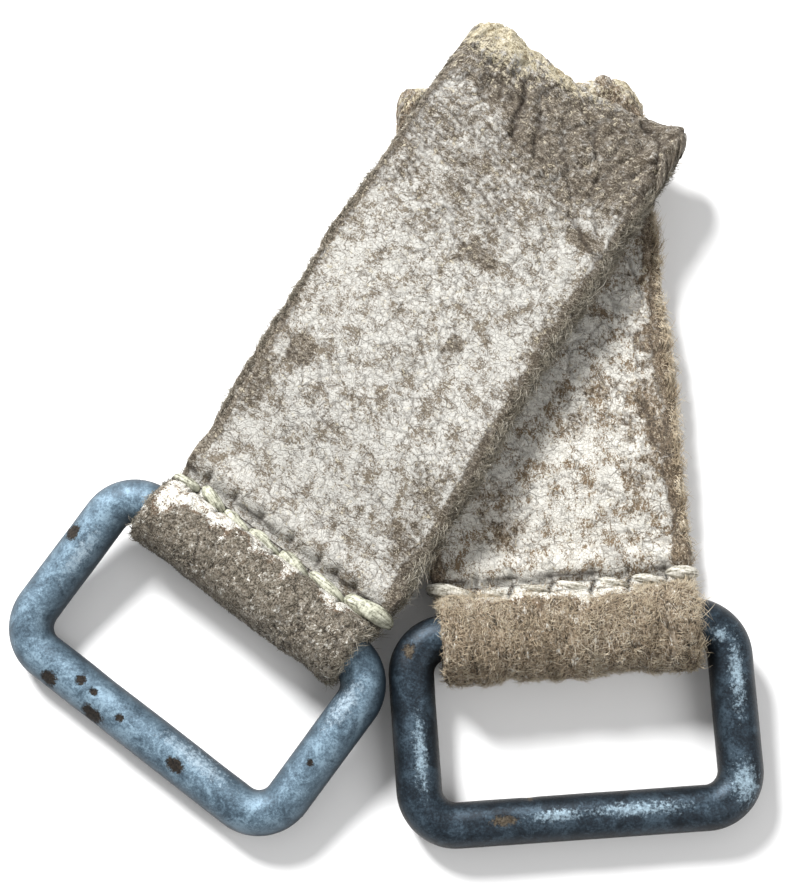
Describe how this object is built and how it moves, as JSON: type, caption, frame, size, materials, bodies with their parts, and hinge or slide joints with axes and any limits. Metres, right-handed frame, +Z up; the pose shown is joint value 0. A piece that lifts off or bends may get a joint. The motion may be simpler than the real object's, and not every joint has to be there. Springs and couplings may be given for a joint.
{
  "type": "climbing skins",
  "caption": "Pair of folded hide climbing skins with rectangular wire tip rings held in sewn loops, one laid across the other.",
  "frame": {"origin": "centre of the pair's footprint, on the table it lies on", "axes": "+Y towards the folded ends, +Z up, +X to the right seen from the ring ends"},
  "size_m": [0.1144, 0.1304, 0.0145],
  "materials": {
    "galvanised_wire": "weathered zinc grey with rust pits",
    "blued_wire": "worn blue-black with bright steel rubs",
    "upper_hide": "dry cracked flesh side",
    "lower_hide": "dry cracked flesh side",
    "hair": "short matted hair",
    "waxed_thread": "waxed twisted linen"
  },
  "bodies": {
    "lower_front": {"lower_front_hide": "lower_hide", "lower_front_hair": "hair", "lower_stitches": "waxed_thread", "lower_edge_thread": "waxed_thread"},
    "lower_ring": {"lower_ring": "blued_wire"},
    "lower_tail": {"lower_tail_hide": "lower_hide", "lower_tail_hair": "hair"},
    "upper_tail": {"upper_tail_hide": "upper_hide", "upper_tail_hair": "hair"},
    "upper_front": {"upper_front_hide": "upper_hide", "upper_front_hair": "hair", "upper_stitches": "waxed_thread", "upper_edge_thread": "waxed_thread"},
    "upper_ring": {"upper_ring": "galvanised_wire"}
  },
  "joints": [
    {"name": "lower_ring_swing", "type": "hinge", "parent": "lower_front", "child": "lower_ring", "pos_m": [0.02804, -0.03259, 0.00655], "axis": [-0.9976, -0.0698, 0], "range_deg": [-75, 90]},
    {"name": "lower_unfold", "type": "hinge", "parent": "lower_front", "child": "lower_tail", "pos_m": [0.02164, 0.05888, 0.00295], "axis": [0.9976, 0.0698, 0], "range_deg": [0, 180]},
    {"name": "upper_lift", "type": "slide", "parent": "lower_front", "child": "upper_tail", "axis": [0, 0, 1], "range_m": [0, 0.08]},
    {"name": "upper_unfold", "type": "hinge", "parent": "upper_tail", "child": "upper_front", "pos_m": [0.0321, 0.05633, 0.00915], "axis": [-0.8434, 0.5373, 0], "range_deg": [0, 180]},
    {"name": "upper_ring_swing", "type": "hinge", "parent": "upper_front", "child": "upper_ring", "pos_m": [-0.01996, -0.02539, 0.008], "axis": [-0.7976, 0.6032, 0], "range_deg": [-20, 90]}
  ]
}
